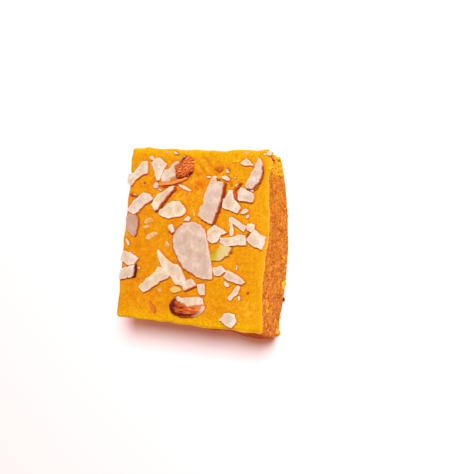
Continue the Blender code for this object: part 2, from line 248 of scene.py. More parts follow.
# The camera that the photograph's perspective gives
CAMERA_PLACE = Vector((111.6, -2.9, 238.7))
CAMERA_AIM = Vector((15.2, 0.76, 16.0))
CAMERA_ROLL = math.radians(-84.05)
CAMERA_LENS = 60.0
SENSOR_WIDTH = 36.0
NEAREST_SEEN = 0.01

# The studio, in metres and watts: each light's place, size, power and colour
FLOOR_SIZE = 4.0
LIGHTS = {
    "key": ((0.27, 0.35, 0.80), 0.46, 10.2, (0.85, 1.03, 1.13)),
    "bounce": ((-0.55, -0.15, 0.30), 0.50, 0.2, (1.0, 0.36, 0.18)),
}
SKY_COLOUR = (1.0, 0.43, 0.27, 1.0)
SKY_STRENGTH = 0.55


class Nut(NamedTuple):
    """One cut nut, by the corners of its outline as the camera sees them on the nut face.

    rise is its height above the paste. curved is how often its corners are cut to round them. skin
    says which way its brown skin faces in degrees, how far the skin reaches over the top and how far
    it stands out, and shade runs from dark to light skin. tone runs from pinkish to yellow, and slope
    tips the top towards +X and +Y.
    """
    corners: tuple
    rise: float = 0.8
    curved: int = 0
    skin: tuple = ()
    tone: float = 0.5
    slope: tuple = (0.0, 0.0)
    kind: str = "slice"
    shade: float = SKIN_SHADE


def oval(x, y, length, width, turn=0, rise=0.6, **looks):
    """A small bit with no corner to speak of, whose unevenness comes from where it lies."""
    corners = []
    for step in range(OVAL_CORNERS):
        angle = math.radians(360 * step / OVAL_CORNERS + OVAL_START)
        reach = OVAL_REACH + OVAL_UNEVEN * math.sin(2.7 * step + 3.1 * x + y)
        spot = Matrix.Rotation(math.radians(turn), 2) @ Vector(
            (length / 2 * reach * math.cos(angle), width / 2 * reach * math.sin(angle)))
        corners.append((x + spot.x, y + spot.y))
    return Nut(tuple(corners), rise, 1, **looks)


# The large pieces, by the node that each one stands for
PIECES = {
    "almond_slice": Nut(
        ((-7.5, 0.2), (-4.8, 4.0), (0.2, 4.9), (4.2, 2.6), (5.8, -3.6), (7.3, -9.0), (7.6, -12.0),
         (7.6, -12.9), (6.7, -13.1), (3.2, -13.0), (-3.6, -10.2), (-7.2, -3.4)), 0.95, 2,
        skin=(185, 0.0, 0.3), tone=-0.3, slope=(0.01, 0.01)),
    "almond_blade_upper": Nut(
        ((5.4, 19.2), (6.8, 18.9), (7.0, 17.9), (9.9, 17.2), (9.2, 13.3), (8.0, 8.2), (6.7, 4.2),
         (4.6, 4.5), (1.3, 6.7), (1.9, 9.7), (2.8, 10.4), (3.1, 13.2), (4.2, 16.4)), 1.5,
        skin=(-16, 0.0, 0.35), tone=-0.3, slope=(-0.04, 0.0)),
    "almond_kernel_upper": Nut(
        ((-13.2, 17.4), (-12.8, 19.4), (-11.9, 20.9), (-10.6, 21.0), (-9.0, 23.4), (-7.6, 23.6),
         (-6.3, 23.9), (-5.4, 25.2), (-3.9, 25.6), (-2.2, 24.9), (-1.2, 22.5), (-1.5, 20.4),
         (-3.1, 18.7), (-5.4, 18.3), (-8.7, 18.2), (-10.2, 16.8), (-12.4, 16.7)), 1.7, 1,
        kind="ridged"),
    "almond_blade_edge": Nut(
        ((-20.3, 23.4), (-18.2, 23.6), (-18.0, 19.4), (-19.6, 19.3), (-22.4, 17.2), (-23.7, 15.3),
         (-25.5, 16.4), (-25.3, 19.2), (-23.0, 19.9), (-21.6, 21.8)), 0.9, tone=0.4,
        slope=(0.04, -0.02)),
    "almond_blade_left": Nut(
        ((-24.7, 7.6), (-22.4, 10.6), (-20.0, 12.4), (-18.9, 13.3), (-16.4, 12.9), (-15.1, 11.2),
         (-17.1, 10.1), (-19.9, 7.9), (-20.4, 6.9), (-22.4, 6.1), (-23.7, 6.4)), 1.0,
        tone=0.1, slope=(0.03, 0.03)),
    "almond_blade_middle": Nut(
        ((-15.8, 9.2), (-15.0, 11.6), (-13.0, 13.3), (-9.6, 15.4), (-7.8, 15.8), (-8.2, 14.6),
         (-10.3, 11.9), (-12.2, 9.6), (-12.9, 7.9), (-14.1, 7.4)), 1.3,
        skin=(-42, 0.1, 0.5), tone=1.05, slope=(0.03, -0.05)),
    "almond_half_round": Nut(
        ((-13.1, 7.5), (-10.8, 9.1), (-9.0, 10.6), (-5.8, 11.3), (-4.6, 9.9), (-3.0, 8.4),
         (-3.6, 6.8), (-5.6, 5.9), (-10.0, 5.2), (-12.2, 6.0)), 0.7, 1, tone=0.75),
    "almond_crescent": Nut(
        ((20.2, 25.1), (21.1, 25.4), (22.0, 23.8), (22.3, 21.5), (22.0, 18.8), (20.9, 17.3),
         (19.1, 15.3), (17.8, 15.5), (16.5, 16.3), (17.5, 18.6), (19.2, 22.1)), 0.85, 1,
        skin=(-55, 0.0, 0.12), tone=-0.2),
    "almond_limb_long": Nut(
        ((-12.0, -4.8), (-11.0, -5.7), (-9.5, -7.1), (-6.6, -8.9), (-4.7, -9.2), (-3.4, -10.3),
         (-2.6, -11.9), (-1.6, -13.6), (-2.1, -15.7), (-4.9, -15.7), (-6.8, -13.4), (-10.3, -10.5),
         (-12.1, -7.2), (-12.4, -5.9)), 0.85, tone=0.55, slope=(0.02, 0.03)),
    "almond_limb_short": Nut(
        ((-10.9, -10.2), (-7.1, -12.5), (-7.7, -13.4), (-10.5, -14.9), (-12.3, -16.6), (-16.5, -19.1),
         (-17.6, -18.2), (-18.5, -17.2), (-15.5, -14.4), (-13.2, -12.4), (-11.9, -10.5)), 1.0,
        tone=0.6, slope=(-0.02, 0.03)),
    "almond_half_kernel": Nut(
        ((-5.3, -20.0), (-4.0, -19.1), (-2.2, -19.7), (-0.2, -18.9), (4.6, -18.7), (5.2, -20.3),
         (5.9, -21.4), (5.4, -23.2), (3.3, -24.9), (0.2, -25.7), (-3.9, -25.5), (-5.9, -24.3),
         (-6.8, -22.4), (-6.0, -21.0)), 1.9, 1, kind="halved"),
}

# The small pieces bedded in the paste
CHIPS = (
    Nut(((-16.8, 23.0), (-15.3, 24.7), (-13.7, 24.8), (-11.1, 22.8), (-12.7, 19.5), (-13.2, 17.5),
         (-14.3, 17.3), (-16.0, 21.0)), 0.7, tone=0.45),
    Nut(((-24.9, 6.1), (-20.0, 6.3), (-19.9, 0.5), (-21.2, -1.6), (-23.2, -0.4), (-24.7, 2.5)),
        0.35, 1, skin=(0, 0.0, 0.05), tone=-0.6),
    Nut(((15.0, 15.9), (16.3, 16.0), (17.5, 15.1), (19.7, 14.3), (19.7, 12.1), (19.0, 11.7),
         (15.0, 11.9), (14.5, 12.4), (14.3, 14.5)), 1.2, tone=0.1),
    Nut(((11.2, 15.3), (12.5, 15.1), (13.3, 12.2), (14.8, 11.0), (15.6, 9.7), (14.6, 7.9),
         (12.9, 8.5), (9.2, 9.6), (9.6, 12.4), (10.4, 12.9)), 0.9, tone=0.35),
    Nut(((11.9, 6.7), (12.9, 6.9), (18.0, 4.1), (17.2, 2.3), (14.0, 4.4), (12.0, 5.3)), 0.7, tone=0.4),
    Nut(((12.1, 5.4), (13.3, 5.3), (13.8, 1.0), (12.6, 1.0)), 0.7),
    Nut(((18.2, 4.9), (19.6, 5.4), (20.8, 4.6), (20.6, 3.1), (19.4, 2.4), (18.0, 3.2)), 0.8),
    Nut(((9.4, 0.2), (12.5, 0.4), (16.0, 1.6), (17.7, 1.3), (18.2, -1.8), (15.0, -1.8), (11.5, -2.3),
         (9.6, -1.4)), 1.0, tone=0.35, slope=(0.0, 0.04)),
    Nut(((20.9, 3.4), (22.0, 2.5), (24.6, 1.4), (24.2, -0.6), (23.6, -2.8), (20.2, -1.7), (18.2, 0.0),
         (19.1, 1.3)), 0.95),
    Nut(((7.2, 4.1), (9.6, 3.1), (11.8, 1.9), (9.6, 0.8), (8.3, -1.2), (6.8, -1.8), (5.0, -0.8),
         (4.7, 1.0), (5.0, 2.4)), 0.9, tone=0.55, slope=(0.05, 0.0)),
    Nut(((-9.3, 2.9), (-7.9, 3.6), (-6.6, 1.4), (-7.4, 0.5), (-9.0, 1.2)), 0.9,
        skin=(-110, 0.1, 0.4), shade=0.3),
    Nut(((-3.9, 4.9), (-2.3, 6.5), (-1.3, 6.0), (-1.9, 4.7)), 0.6, tone=0.3),
    Nut(((9.9, 19.6), (11.5, 18.6), (11.0, 17.8), (8.6, 18.6), (8.4, 19.3)), 0.7),
    Nut(((10.1, 22.1), (11.2, 21.4), (11.0, 20.2), (9.8, 20.6)), 0.4, skin=(60, 0.15, 0.1), tone=1.1),
    Nut(((14.6, 23.5), (16.5, 25.1), (19.2, 22.9), (16.2, 22.7)), 0.6, tone=0.35),
    Nut(((22.9, 26.8), (24.0, 27.7), (25.0, 27.1), (24.4, 26.0), (23.3, 25.9)), 0.6, 1, tone=-0.15),
    Nut(((-24.9, -5.9), (-22.5, -6.4), (-19.0, -8.2), (-20.9, -10.2), (-22.8, -10.7), (-25.9, -9.2),
         (-25.8, -7.5)), 0.95, tone=0.3),
    Nut(((-25.9, -12.0), (-23.0, -11.0), (-20.1, -10.1), (-20.3, -14.2), (-23.5, -14.9),
         (-25.9, -15.7)), 1.1, skin=(-5, 0.0, 0.2), tone=0.1, shade=0.05),
    Nut(((-2.8, -15.0), (0.4, -13.1), (2.5, -15.4), (0.2, -16.6), (-1.9, -17.5)), 1.2,
        skin=(-62, 0.3, 0.4), tone=0.6, shade=0.5),
    Nut(((2.5, -15.0), (5.1, -14.4), (5.5, -18.0), (4.0, -18.1), (3.1, -17.2)), 0.75, tone=0.1),
    Nut(((7.5, -9.4), (10.5, -8.4), (12.2, -10.1), (9.8, -11.9), (8.2, -11.8)), 0.8, tone=0.4),
    Nut(((12.5, -9.8), (16.0, -10.9), (18.9, -12.8), (17.9, -13.6), (13.5, -13.1), (11.4, -12.1)),
        1.0, tone=0.45, slope=(0.0, 0.05)),
    Nut(((11.6, -13.6), (12.2, -13.0), (13.8, -14.2), (13.4, -15.0), (12.3, -14.6)), 0.6, tone=0.2),
    Nut(((13.2, -18.3), (14.1, -17.2), (16.2, -13.9), (17.4, -14.6), (16.6, -16.7), (14.1, -19.0)),
        0.6, tone=0.4),
    Nut(((12.5, -23.0), (14.0, -22.6), (16.0, -23.0), (16.7, -25.4), (15.4, -27.3), (13.0, -26.4),
         (11.1, -25.0), (12.2, -24.2)), 0.9, tone=0.3, slope=(-0.12, -0.1)),
    Nut(((-6.9, -16.9), (-5.4, -16.0), (-2.9, -16.4), (-2.6, -17.3), (-4.6, -18.2), (-6.3, -18.0)),
        0.6, 1, tone=1.42),
    Nut(((-6.9, 16.3), (-5.9, 16.5), (-3.2, 15.5), (-1.4, 14.3), (-2.2, 14.1), (-4.8, 14.9)), 0.35,
        1, tone=-0.2),
    oval(-16.7, 24.6, 1.7, 1.3, -20, tone=0.6),
    oval(-8.2, 26.3, 1.9, 0.7, -28, tone=0.2),
    oval(-14.5, 15.7, 2.0, 1.9, 80, 0.35, tone=-0.3),
    oval(-13.0, 14.4, 1.3, 0.5, -25, 0.3),
    oval(4.0, 19.0, 1.9, 0.6, 4, 0.4),
    oval(6.3, 18.9, 1.4, 1.1, 10, 1.6, tone=0.9),
    oval(17.1, 8.7, 2.7, 1.4, 25, 0.6, tone=0.3),
    oval(18.2, 7.1, 1.4, 0.9, 50, 0.5, tone=0.8),
    oval(14.0, 16.7, 1.5, 0.9, 35, 0.7, skin=(0, 0.4, 0.1)),
    oval(22.5, 26.4, 1.0, 0.7, 0, 0.3, tone=0.8),
    oval(-23.7, -3.1, 2.7, 0.8, -60, 0.4),
    oval(-18.7, -11.2, 0.8, 0.6, 12, 0.3),
    oval(17.2, -18.0, 1.5, 0.8, -80, 0.4),
    oval(15.7, -8.7, 1.9, 0.45, 90, 0.35),
    oval(-22.2, 12.4, 1.9, 0.5, -15, 0.4),
    oval(13.2, 18.9, 0.7, 0.5, 0, 0.3),
    oval(19.0, 15.3, 1.2, 0.8, -20, 0.5),
)

# Pieces of brown skin
SKINS = (
    Nut(((-13.9, 15.9), (-13.7, 16.4), (-9.2, 17.0), (-5.7, 18.0), (-3.8, 18.8), (-3.3, 18.3),
         (-5.6, 17.2), (-9.0, 16.2), (-12.6, 15.7)), 0.75, shade=0.85),
    Nut(((-12.3, 15.0), (-12.1, 15.4), (-8.6, 15.8), (-5.4, 16.8), (-5.4, 16.5), (-8.6, 15.4)), 0.3),
    Nut(((-23.9, 12.2), (-23.6, 12.9), (-21.0, 12.2), (-21.2, 11.7)), 0.45),
    oval(7.5, 21.4, 2.5, 1.3, -6, 0.3, shade=0.6),
    oval(11.6, 17.4, 2.4, 0.4, -62, 0.3, shade=0.7),
    oval(20.3, 16.1, 2.3, 0.8, 50, 0.5, shade=0.5),
    oval(21.3, 17.5, 0.9, 0.6, 20, 0.4),
    oval(19.1, 2.0, 3.0, 0.5, 45, 0.35),
    oval(-12.8, -23.5, 3.7, 0.9, -56, 0.35, shade=0.7),
    oval(13.5, -4.2, 0.7, 0.6, 0, 0.3),
    oval(-18.8, 16.4, 0.5, 0.4, 0, 0.1, shade=-1.0),
    oval(20.0, -16.2, 0.6, 0.45, 0, 0.1, shade=-1.0),
    oval(2.8, -1.0, 0.4, 0.3, 0, 1.0),
    oval(15.1, 17.1, 0.9, 0.6, 30, 0.5),
    Nut(((14.4, 16.7), (12.8, 15.6), (12.5, 14.2), (13.8, 12.2), (14.7, 11.8), (14.5, 13.0),
         (13.5, 14.2), (13.6, 15.3), (15.0, 16.3)), 0.8, shade=0.35),
)

# Pale bits under a thin film of paste, and yellow lumps of paste on the face
SUNK = (
    oval(-11.0, 26.4, 1.6, 0.9, 0, 0.06),
    oval(-16.2, 4.2, 3.2, 1.8, 20, 0.12),
    oval(-16.9, 2.3, 2.2, 0.9, 15, 0.06),
    oval(-0.2, 7.5, 2.1, 0.6, 100, 0.06),
    oval(16.6, 26.8, 2.3, 0.7, 0, 0.08),
    oval(-14.7, -0.4, 4.8, 1.6, 24, 0.1),
    oval(-9.0, -3.1, 2.4, 1.6, -62, 0.08),
    oval(-10.7, -17.6, 1.6, 1.3, -40, 0.1),
)
LUMPS = (
    oval(7.5, 19.0, 1.3, 1.2, 0, 0.7),
    oval(13.0, 24.0, 2.6, 0.8, 5, 0.35),
    oval(0.9, 14.9, 3.6, 0.4, 6, -0.2),
    oval(-1.4, 23.6, 0.9, 0.5, 20, 0.12),
    oval(1.7, 24.1, 2.4, 0.5, -3, 0.12),
    oval(3.8, 21.8, 0.7, 0.5, 0, 0.12),
    oval(4.8, 21.8, 0.6, 0.5, 40, 0.12),
)
PISTACHIO = Nut(
    ((9.2, -1.7), (10.5, -2.0), (13.4, -2.7), (12.8, -4.3), (12.4, -5.4), (11.2, -5.7), (10.2, -6.8),
     (7.4, -7.1), (5.6, -6.5), (6.2, -5.2), (7.8, -4.5), (8.7, -3.0)), 0.8, slope=(0.04, 0.04))


def hump(value, middle, reach):
    """A smooth hump, 1 at its middle, that fades out over its reach."""
    return math.exp(-((value - middle) / reach) ** 2)


def ease(value, low, high):
    """Goes smoothly from 0 at low to 1 at high, whichever of the two is larger."""
    share = min(1.0, max(0.0, (value - low) / (high - low)))
    return share * share * (3 - 2 * share)


def left_side(y):
    return LEFT_EDGE + LEFT_LEAN * y


def right_side(y, depth):
    flare = FLARE - FLARE_LOSS * ((y - FLARE_MIDDLE_Y) / FLARE_REACH) ** 2
    flare += FOOT[0] * hump(y, FOOT_AT[1], FOOT_REACH)
    sway = SWAY * (hump(y, *SWAY_OUT) - hump(y, *SWAY_IN))
    return RIGHT_EDGE + RIGHT_LEAN * y + sway * (1 - depth) + flare * depth


def far_side(x):
    return FAR_EDGE - FAR_DIP * hump(x, FAR_DIP_X, EDGE_BOW_REACH)


def near_side(x, depth):
    edge = NEAR_EDGE - NEAR_BOW * hump(x, NEAR_BOW_X, EDGE_BOW_REACH)
    bulge = BULGE * ease(x, *BULGE_FROM_X) + CORNER_BULGE * hump(x, CORNER_BULGE_X, CORNER_BULGE_REACH)
    foot = FOOT[1] * hump(x, FOOT_AT[0], FOOT_REACH) * depth ** 2
    return edge - bulge * math.sin(math.pi * depth ** BULGE_HANG) - foot


def top_relief(x, y):
    """How far the nut face lies above or below its level: waves, a dent and crumpled folds."""
    wave = TOP_WAVE * noise.noise(Vector((x / TOP_WAVE_SIZE, y / TOP_WAVE_SIZE, 0.0)))
    dent = DENT * hump(x, DENT_MIDDLE[0], DENT_REACH[0]) * hump(y, DENT_MIDDLE[1], DENT_REACH[1])
    fold = FOLD * hump(x, FOLD_MIDDLE[0], FOLD_REACH[0]) * hump(y, FOLD_MIDDLE[1], FOLD_REACH[1])
    return wave - dent + fold * math.sin(FOLD_PITCH * (x + y))


def corner_nearness(point):
    """1 at the broken corner, 0 away from it."""
    distance = (Vector((point.x, point.y, 0.0)) - BROKEN_CORNER).length
    return ease(distance, BROKEN_REACH, BROKEN_CORE) * ease(point.z, *BROKEN_BELOW)


def corner_loss(point):
    """How much paste has crumbled away from the upright corner at +X and +Y."""
    grain = BROKEN_EVEN + noise.noise(point / BROKEN_GRAIN)
    return BROKEN_DEPTH * corner_nearness(point) * grain


def place_paste(point):
    """Where a point of the plain rounded block lies on the cut square, and what lies there.

    Gives the place, the way out of the paste, how much it is a cut side and how broken it is.
    """
    half = Vector((WIDTH, LENGTH, THICKNESS)) / 2
    inner = half - Vector((EDGE_ROUND,) * 3)
    centred = Vector((point.x, point.y, point.z - half.z))
    core = Vector([min(inner[i], max(-inner[i], centred[i])) for i in range(3)])
    outward = centred - core
    if outward.length > EDGE_ROUND:
        outward = outward.normalized() * EDGE_ROUND
    rounded = core + outward

    across = (rounded.x + half.x) / WIDTH
    along = (rounded.y + half.y) / LENGTH
    depth = min(1.0, max(0.0, (half.z - rounded.z) / THICKNESS))
    low_x, high_x = left_side(rounded.y), right_side(rounded.y, depth)
    low_y, high_y = near_side(rounded.x, depth), far_side(rounded.x)
    placed = Vector((low_x + (high_x - low_x) * across,
                     low_y + (high_y - low_y) * along,
                     rounded.z + half.z))

    calm = ease(placed.z, 0.0, UNDERSIDE_CALM)
    flank = max(ease(abs(rounded.x), half.x - SIDE_CRAG_START, half.x),
                ease(abs(rounded.y), half.y - SIDE_CRAG_START, half.y))
    rough = noise.noise_vector(placed / SIDE_CRAG_SIZE) * SIDE_CRAG * flank
    placed += (rough + BROKEN_INWARD * corner_loss(placed)) * calm
    placed.z += top_relief(placed.x, placed.y) * ease(depth, TOP_RELIEF_SHARE, 0.0)

    cut_side = 1.0 - ease(outward.z, EDGE_ROUND * 0.1, EDGE_ROUND * 0.85)
    return placed, outward.normalized(), cut_side, corner_nearness(placed)


def crumple(point):
    """Sharp little folds that fade out round the middle of the dented patch."""
    patch = 0.0
    for middle, reach in CRUMPLE_PATCHES:
        patch = max(patch, math.exp(-((point.x - middle[0]) / reach[0]) ** 2
                                    - ((point.y - middle[1]) / reach[1]) ** 2))
    if patch < CRUMPLE_LEAST:
        return 0.0
    bent = point + noise.noise_vector(point / BEND_SIZE) * BEND_REACH
    by, on = FOLD_TURN
    turned = Vector((bent.x * by + bent.y * on, (bent.y * by - bent.x * on) * FOLD_SQUEEZE, 0.0))
    broad = 1 - 2.4 * abs(noise.noise(turned / 4.0))
    narrow = 0.9 - 3.2 * abs(noise.noise(turned / 2.1 + Vector((7.0, 0.0, 0.0))))
    folds = max(broad, narrow) + 0.3 * noise.noise(point / 0.8)
    return CRUMPLE * patch * (folds - FOLD_LEVEL)


def stations(length):
    """Even steps along a side, with closer ones at its two rounded edges."""
    steps = round((length - 2 * EDGE_ROUND) / CELL)
    inner = [EDGE_ROUND + (length - 2 * EDGE_ROUND) * i / steps for i in range(steps + 1)]
    rim = [EDGE_ROUND * share for share in (0.0, 0.2, 0.4, 0.6, 0.8)]
    return rim + inner + [length - value for value in reversed(rim)]


def subdivided_block():
    """A block cut into cells at the stations of its three sides, in millimetres."""
    mesh = bmesh.new()
    bmesh.ops.create_cube(mesh, size=1.0)
    sides = (stations(WIDTH), stations(LENGTH), stations(THICKNESS))
    for axis, values in enumerate(sides):
        along = [edge for edge in mesh.edges
                 if abs(edge.verts[0].co[axis] - edge.verts[1].co[axis]) > 0.5]
        bmesh.ops.subdivide_edges(mesh, edges=along, cuts=len(values) - 2, use_grid_fill=True)
    offsets = (WIDTH / 2, LENGTH / 2, 0.0)
    for vert in mesh.verts:
        spot = []
        for axis, values in enumerate(sides):
            step = round((vert.co[axis] + 0.5) * (len(values) - 1))
            spot.append(values[step] - offsets[axis])
        vert.co = spot
    bmesh.ops.recalc_face_normals(mesh, faces=mesh.faces)
    return mesh


def every_nut():
    return list(PIECES.values()) + list(CHIPS) + list(SKINS) + [PISTACHIO]


def lifted(corner, rise):
    """Moves a point seen on the nut face's level along the line of sight to a height above it."""
    share = rise / (CAMERA_PLACE.z - THICKNESS)
    return Vector(corner) + (CAMERA_PLACE.xy - Vector(corner)) * share


def ragged_outline(nut, seed):
    """The nut's outline on the paste, with its corners rounded as told and its edges chopped."""
    height = nut.rise if nut.kind == "slice" else DOME_SEEN
    points = [lifted(corner, height) for corner in nut.corners]
    for _ in range(nut.curved):
        cut = []
        for start, end in zip(points, points[1:] + points[:1]):
            cut += [start.lerp(end, 0.25), start.lerp(end, 0.75)]
        points = cut
    if sum(a.cross(b) for a, b in zip(points, points[1:] + points[:1])) < 0:
        points.reverse()
    dense = []
    for start, end in zip(points, points[1:] + points[:1]):
        steps = max(1, round((end - start).length / OUTLINE_STEP))
        dense += [start.lerp(end, step / steps) for step in range(steps)]
    middle = sum(points, Vector((0.0, 0.0))) / len(points)
    reach = min(1.0, min((point - middle).length for point in points) / 1.5)
    rough = []
    for point in dense:
        broad = noise.noise_vector(Vector((point.x / 1.4, point.y / 1.4, seed * 3.7))).xy
        nick = noise.noise_vector(Vector((point.x / 0.5, point.y / 0.5, seed * 1.9))).xy
        rough.append(point + (EDGE_WANDER * broad + EDGE_NICK * nick) * reach)
    count = len(rough)
    return [(rough[i - 1] + rough[i] * 2 + rough[(i + 1) % count]) / 4 for i in range(count)]


class Shape:
    """Vertices, faces and surface values that grow until they become one object's mesh."""

    def __init__(self):
        self.verts = []
        self.faces = []
        self.values = {name: [] for name in LOOK_NAMES}
        self.grain = []

    def add_vert(self, place, grain, **values):
        self.verts.append(place * MM)
        self.grain.append(grain)
        for name, store in self.values.items():
            store.append(values.get(name, 0.0))
        return len(self.verts) - 1

    def add_walls(self, rows):
        """Joins rows of vertex numbers into walls, from the lowest row up."""
        count = len(rows[0])
        for low, high in zip(rows, rows[1:]):
            for i in range(count):
                j = (i + 1) % count
                self.faces.append((low[i], low[j], high[j], high[i]))

    def make(self, name, material):
        mesh = bpy.data.meshes.new(name)
        mesh.from_pydata([tuple(vert) for vert in self.verts], [], self.faces)
        mesh.materials.append(material)
        for key, store in self.values.items():
            layer = mesh.attributes.new(key, "FLOAT", "POINT")
            layer.data.foreach_set("value", store)
        layer = mesh.attributes.new("grain", "FLOAT_VECTOR", "POINT")
        layer.data.foreach_set("vector", [part for spot in self.grain for part in spot])
        mesh.shade_smooth()
        mesh.validate()
        mesh.set_sharp_from_angle(angle=SHARP_ANGLE)
        piece = bpy.data.objects.new(name, mesh)
        bpy.context.scene.collection.objects.link(piece)
        return piece


def long_axis(points):
    """The direction of an outline's longest run, for the flesh's fibres."""
    spread = np.cov(np.array([tuple(point) for point in points]).T)
    return Vector(np.linalg.eigh(spread)[1][:, 1])


def inner_points(loop, step, room):
    """Places in a grid inside an outline, more than room from its edge."""
    edge = np.array([tuple(point) for point in loop])
    low, high = edge.min(0), edge.max(0)
    grid = np.mgrid[low[0]:high[0]:step, low[1]:high[1]:step].reshape(2, -1).T
    grid = grid + (np.sin(grid[:, ::-1] * 37.0) * step * 0.2)
    gap = -distance_to_outline(grid, edge)
    return grid[gap > room]


def add_nut(shape, nut, seed):
    """A nut: walls with a worn edge, and a top that is flat and uneven, or domed."""
    loop = ragged_outline(nut, seed)
    count = len(loop)
    middle = sum(loop, Vector((0.0, 0.0))) / count
    level = THICKNESS + top_relief(*middle)
    domed = nut.kind != "slice"
    top = DOME_WALL if domed else nut.rise
    bevel = DOME_BEVEL if domed else min(EDGE_BEVEL, BEVEL_SHARE * max(nut.rise, LOWEST_RISE))
    toward = None
    support = 0.0
    if nut.skin:
        angle = math.radians(nut.skin[0])
        toward = Vector((math.cos(angle), math.sin(angle)))
        support = max(point.dot(toward) for point in loop)

    def outward(i, reach):
        run = loop[(i + reach) % count] - loop[i - reach]
        return Vector((run.y, -run.x)).normalized()

    normals = [outward(i, 1) for i in range(count)]
    facings = [outward(i, SKIN_SMOOTHING).dot(toward) if toward else 0.0 for i in range(count)]
    along = long_axis(loop)

    def add(spot, height, rim, facing=0.0, foot=0.0):
        offset = spot - middle
        grain = Vector((offset.dot(along), offset.cross(along), seed * 5.3))
        looks = {"skin": 0.0, "rim": rim, "tone": nut.tone, "shade": nut.shade, "foot": foot}
        if toward:
            reach = spot.dot(toward) - (support - nut.skin[1])
            looks["skin"] = ease(reach + 0.3 * noise.noise(grain / 0.9), -0.1, 0.15)
            if rim >= 0.8 and facing > SKIN_FACING:
                looks["skin"] = 1.0
        if domed:
            height, more = kernel_surface(nut, spot, grain, height, rim)
            looks.update(more)
        return shape.add_vert(Vector((spot.x, spot.y, level + height)), grain, **looks)

    rows = []
    for step in WALL_STEPS:
        height = (top - bevel + SINK) * step - SINK
        row = []
        for point, normal, facing in zip(loop, normals, facings):
            flare = nut.skin[2] * max(0.0, facing) * (1 - step) if toward else 0.0
            tilt = slope_height(nut, point - middle) if step else 0.0
            # The wall's foot is tinted orange: partly paste clinging to it, partly painted bounce
            # light off the paste
            foot = 1 - PASTE_AND_BOUNCE_ON_WALL * step ** 4
            row.append(add(point + normal * flare, height + tilt * step, 1.0, facing, foot))
        rows.append(row)
    inner = [point - normal * bevel for point, normal in zip(loop, normals)]
    rows.append([add(point, top + slope_height(nut, point - middle), 0.8, facing)
                 for point, facing in zip(inner, facings)])
    shape.add_walls(rows)
    shape.faces.append(tuple(reversed(rows[0])))
    add_top(shape, nut, inner, rows[-1], middle, top, add)


def slope_height(nut, offset):
    return nut.slope[0] * offset.x + nut.slope[1] * offset.y


def add_top(shape, nut, inner, rim_row, middle, top, add):
    """Fills an outline with small triangles and gives each point its height."""
    fine = TOP_STEP if nut.kind != "slice" else TOP_STEP * SLICE_STEP
    grid = inner_points(inner, fine, fine * 0.6)
    coords = [point.copy() for point in inner] + [Vector(spot) for spot in grid]
    edges = [(i, (i + 1) % len(inner)) for i in range(len(inner))]
    made = delaunay_2d_cdt(coords, edges, [], 1, 1e-5)
    gaps = {}
    if len(grid):
        edge = np.array([tuple(point) for point in inner])
        distances = -distance_to_outline(grid, edge)
        gaps = {len(inner) + i: gap for i, gap in enumerate(distances)}
    numbers = []
    for place, sources in zip(made[0], made[3]):
        old = min(sources) if sources else -1
        if 0 <= old < len(inner):
            numbers.append(rim_row[old])
            continue
        gap = gaps.get(old, 0.3)
        uneven = sum(depth * noise.noise(Vector((place.x, place.y, nut.rise)) / size)
                     for depth, size in UNEVEN_TOP)
        uneven *= min(1.0, gap / UNEVEN_FROM_EDGE)
        height = top + slope_height(nut, place - middle) + uneven
        if nut.kind != "slice":
            height = gap
        numbers.append(add(place, height, RIM_PALENESS * math.exp(-gap / RIM_REACH)))
    for face in made[2]:
        corners = [numbers[i] for i in face]
        if len(set(corners)) == 3:
            shape.faces.append(tuple(corners))


def kernel_surface(nut, spot, grain, height, rim):
    """The height and colours of a domed kernel. height is its wall's, or its distance to the edge."""
    inside = rim < 0.8
    gap = height if inside else 0.0
    swell = math.sqrt(max(0.0, 1 - (1 - min(1.0, gap / KERNEL_REACH[nut.kind])) ** 2))
    dome = DOME_WALL + (nut.rise - DOME_WALL) * swell
    if nut.kind == "ridged":
        more, looks = ridged_skin(spot, grain, gap)
        skin = looks["skin"]
        dome += more * skin * swell
        flat = 0.85 + 0.1 * (spot.x + 8.0)
        dome = dome * skin + min(dome, flat) * (1 - skin)
    else:
        fall, looks = halved_skin(spot, grain, gap)
        dome = min(dome, nut.rise * 0.95 - fall)
    return (dome if inside else height), looks


def ridged_skin(spot, grain, gap):
    """The ridges' height and the skin on the kernel whose other end is bare flesh."""
    across = spot - RIDGED_MIDDLE
    border = -2.3 + 0.8 * max(0.0, across.y - 0.2) + 0.7 * noise.noise(grain / 0.55)
    skin = ease(across.x, border - 0.12, border + 0.12)
    turn = 2 * math.pi * across.cross(RIDGED_AXIS) / RIDGE_PITCH
    wave = math.sin(turn + 3.0 * noise.noise(grain / 1.3))
    wave *= 0.7 + 0.9 * noise.noise(Vector((spot.x / 0.9, spot.y / 0.9, 4.0)))
    dark = 0.4 * hump(across.x, border + 0.2, 0.35) * (0.6 + wave)
    dark += 0.8 * hump(across.x, -0.2, 0.7) * hump(across.y, 2.6, 1.1)
    dark += 0.4 * ease(gap, 0.8, 0.3) * ease(across.y, -0.5, -1.8)
    # The skin's colour follows the ridges: painted highlight on their crests and painted shade in the
    # grooves
    return RIDGE_HEIGHT * wave, {"skin": skin, "shade": 0.55 + 0.75 * wave - dark}


